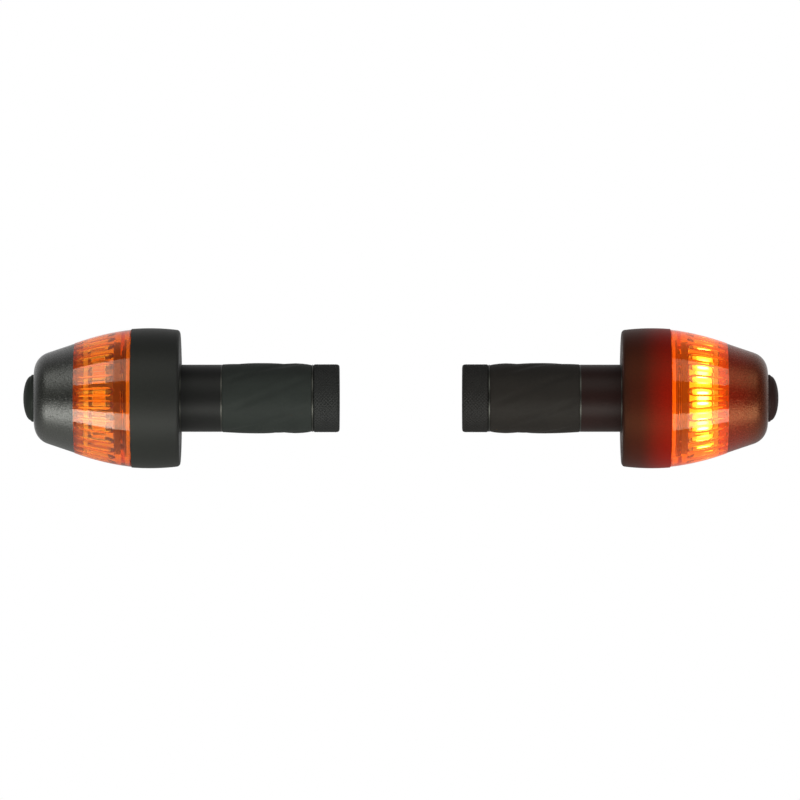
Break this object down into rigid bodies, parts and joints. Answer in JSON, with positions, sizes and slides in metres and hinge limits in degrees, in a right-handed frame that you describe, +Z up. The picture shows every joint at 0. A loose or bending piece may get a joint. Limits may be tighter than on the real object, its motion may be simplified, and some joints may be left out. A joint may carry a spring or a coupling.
{
  "type": "bicycle turn signal light",
  "caption": "Pair of bar end turn signals: amber lens and push button on a tapered black lamp, on a rubber plug that expands inside the handlebar.",
  "frame": {"origin": "midway between the two lights, on the handlebar's axis", "axes": "+X along the handlebar from the unlit light to the lit one, +Z up"},
  "size_m": [0.1726, 0.032, 0.032],
  "materials": {
    "black_alloy": "satin, bead blasted and black anodised",
    "amber_lens": "clear amber polycarbonate",
    "seal_rubber": "matte black",
    "button_rubber": "matte black",
    "plug_rubber": "matte black, ribbed",
    "black_nylon": "satin black, moulded",
    "nut_nylon": "black, knurled",
    "steel": "zinc plated",
    "cell_steel": "nickel plated",
    "contact_brass": "stamped",
    "white_plastic": "white, moulded",
    "circuit_board": "green solder mask",
    "chip_black": "moulded epoxy",
    "led_unlit": "phosphor in a white package",
    "led_lit": "lit phosphor"
  },
  "bodies": {
    "left_plug": {"left_spacer_sleeve": "black_nylon", "left_front_washer": "steel", "left_rubber_expander": "plug_rubber", "left_thrust_washer": "steel"},
    "left_head": {"left_base_housing": "black_alloy", "left_lens_rear_seal": "seal_rubber", "left_lens_ring": "amber_lens", "left_lens_front_seal": "seal_rubber", "left_nose_cap": "black_alloy", "left_button_seal": "seal_rubber", "left_chassis": "black_nylon", "left_housing_screws": "steel", "left_light_core": "black_nylon", "left_led_strip": "circuit_board", "left_leds": "led_unlit", "left_circuit_board": "circuit_board", "left_board_components": "chip_black", "left_tact_switch": "chip_black", "left_lower_cell": "cell_steel", "left_upper_cell": "cell_steel", "left_cell_holder": "black_nylon", "left_negative_contact": "contact_brass", "left_positive_contact": "contact_brass", "left_clamp_screw": "steel", "left_retaining_clip": "steel"},
    "left_nut": {"left_end_nut": "nut_nylon", "left_nut_insert": "contact_brass", "left_rear_washer": "steel"},
    "left_button": {"left_push_button": "button_rubber", "left_switch_plunger": "white_plastic"},
    "right_plug": {"right_spacer_sleeve": "black_nylon", "right_front_washer": "steel", "right_rubber_expander": "plug_rubber", "right_thrust_washer": "steel"},
    "right_head": {"right_base_housing": "black_alloy", "right_lens_rear_seal": "seal_rubber", "right_lens_ring": "amber_lens", "right_lens_front_seal": "seal_rubber", "right_nose_cap": "black_alloy", "right_button_seal": "seal_rubber", "right_chassis": "black_nylon", "right_housing_screws": "steel", "right_light_core": "black_nylon", "right_led_strip": "circuit_board", "right_leds": "led_lit", "right_circuit_board": "circuit_board", "right_board_components": "chip_black", "right_tact_switch": "chip_black", "right_lower_cell": "cell_steel", "right_upper_cell": "cell_steel", "right_cell_holder": "black_nylon", "right_negative_contact": "contact_brass", "right_positive_contact": "contact_brass", "right_clamp_screw": "steel", "right_retaining_clip": "steel"},
    "right_nut": {"right_end_nut": "nut_nylon", "right_nut_insert": "contact_brass", "right_rear_washer": "steel"},
    "right_button": {"right_push_button": "button_rubber", "right_switch_plunger": "white_plastic"}
  },
  "joints": [
    {"name": "bar_width", "type": "slide", "parent": "left_plug", "child": "right_plug", "axis": [1, 0, 0], "range_m": [0, 0.52]},
    {"name": "left_head_turn", "type": "hinge", "parent": "left_plug", "child": "left_head", "pos_m": [-0.0504, 0, 0], "axis": [1, 0, 0], "range_deg": [0, 1800]},
    {"name": "left_nut_travel", "type": "slide", "parent": "left_plug", "child": "left_nut", "axis": [-1, 0, 0], "range_m": [0, 0.00405], "deforming": ["left_rubber_expander"]},
    {"name": "left_button_press", "type": "slide", "parent": "left_head", "child": "left_button", "axis": [1, 0, 0], "range_m": [0, 0.0006], "stiffness_N_per_m": 1200, "springref_m": -0.0005},
    {"name": "right_head_turn", "type": "hinge", "parent": "right_plug", "child": "right_head", "pos_m": [0.0504, 0, 0], "axis": [-1, 0, 0], "range_deg": [0, 1800]},
    {"name": "right_nut_travel", "type": "slide", "parent": "right_plug", "child": "right_nut", "axis": [1, 0, 0], "range_m": [0, 0.00405], "deforming": ["right_rubber_expander"]},
    {"name": "right_button_press", "type": "slide", "parent": "right_head", "child": "right_button", "axis": [-1, 0, 0], "range_m": [0, 0.0006], "stiffness_N_per_m": 1200, "springref_m": -0.0005}
  ],
  "couplings": [
    {"joint": "left_nut_travel", "follows": "left_head_turn", "m_per_rad": 0.00012732},
    {"joint": "right_nut_travel", "follows": "right_head_turn", "m_per_rad": 0.00012732}
  ]
}
